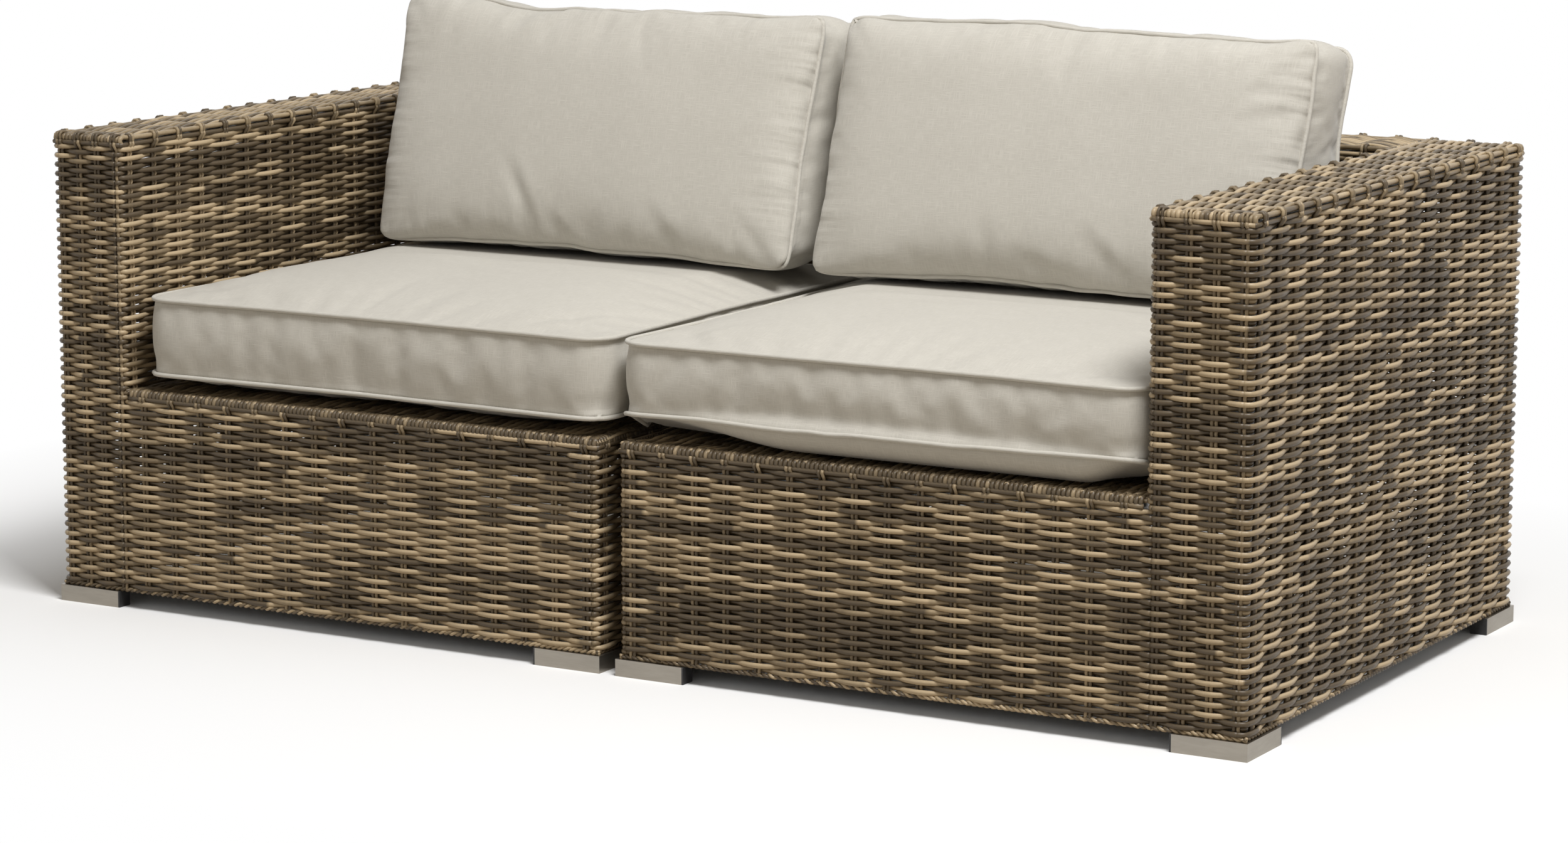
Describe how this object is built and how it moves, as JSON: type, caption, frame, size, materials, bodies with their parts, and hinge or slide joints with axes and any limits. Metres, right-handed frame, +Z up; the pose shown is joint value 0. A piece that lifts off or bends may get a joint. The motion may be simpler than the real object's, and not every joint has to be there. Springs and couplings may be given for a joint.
{
  "type": "patio loveseat",
  "caption": "Woven wicker garden loveseat in mirrored end modules with box arms, low metal feet and loose piped seat and back cushions.",
  "frame": {"origin": "on the floor, midway between the two modules and midway from front to back", "axes": "+X along the sofa towards the right module as seen from the front, +Y to the rear, +Z up"},
  "size_m": [1.622, 0.805, 0.746],
  "materials": {
    "wicker": "satin",
    "frame": "satin",
    "foot": "satin",
    "plastic": "matte",
    "screw": "satin",
    "cover": "matte",
    "filling": "matte",
    "piping": "matte",
    "zip": "matte"
  },
  "bodies": {
    "sofa": {"outer_side_weave_left": "wicker", "arm_front_weave_left": "wicker", "base_front_weave_left": "wicker", "inner_side_weave_left": "wicker", "back_end_weave_left": "wicker", "back_outer_weave_left": "wicker", "back_inner_weave_left": "wicker", "arm_inner_weave_left": "wicker", "arm_top_weave_left": "wicker", "back_top_weave_left": "wicker", "seat_deck_left": "wicker", "base_frame_left": "frame", "seat_bars_left": "frame", "arm_frame_left": "frame", "back_frame_left": "frame", "foot_front_outer_left": "foot", "foot_front_inner_left": "foot", "foot_rear_outer_left": "foot", "foot_rear_inner_left": "foot", "foot_plugs_left": "plastic", "foot_screws_left": "screw", "outer_side_weave_right": "wicker", "arm_front_weave_right": "wicker", "base_front_weave_right": "wicker", "inner_side_weave_right": "wicker", "back_end_weave_right": "wicker", "back_outer_weave_right": "wicker", "back_inner_weave_right": "wicker", "arm_inner_weave_right": "wicker", "arm_top_weave_right": "wicker", "back_top_weave_right": "wicker", "seat_deck_right": "wicker", "base_frame_right": "frame", "seat_bars_right": "frame", "arm_frame_right": "frame", "back_frame_right": "frame", "foot_front_outer_right": "foot", "foot_front_inner_right": "foot", "foot_rear_outer_right": "foot", "foot_rear_inner_right": "foot", "foot_plugs_right": "plastic", "foot_screws_right": "screw", "front_module_clip": "plastic", "rear_module_clip": "plastic"},
    "seat_cushion_left": {"seat_cushion_left_cover": "cover", "seat_cushion_left_filling": "filling", "seat_cushion_left_piping": "piping", "seat_cushion_left_zip": "zip"},
    "seat_cushion_right": {"seat_cushion_right_cover": "cover", "seat_cushion_right_filling": "filling", "seat_cushion_right_piping": "piping", "seat_cushion_right_zip": "zip"},
    "back_cushion_left": {"back_cushion_left_cover": "cover", "back_cushion_left_filling": "filling", "back_cushion_left_piping": "piping", "back_cushion_left_zip": "zip"},
    "back_cushion_right": {"back_cushion_right_cover": "cover", "back_cushion_right_filling": "filling", "back_cushion_right_piping": "piping", "back_cushion_right_zip": "zip"}
  },
  "joints": [
    {"name": "seat_cushion_left_slide", "type": "slide", "parent": "sofa", "child": "seat_cushion_left", "axis": [0, -1, 0], "range_m": [0, 0.7]},
    {"name": "back_cushion_left_lift", "type": "slide", "parent": "sofa", "child": "back_cushion_left", "axis": [0, 0, 1], "range_m": [0, 0.34]},
    {"name": "seat_cushion_right_slide", "type": "slide", "parent": "sofa", "child": "seat_cushion_right", "axis": [0, -1, 0], "range_m": [0, 0.7]},
    {"name": "back_cushion_right_lift", "type": "slide", "parent": "sofa", "child": "back_cushion_right", "axis": [0, 0, 1], "range_m": [0, 0.34]}
  ]
}
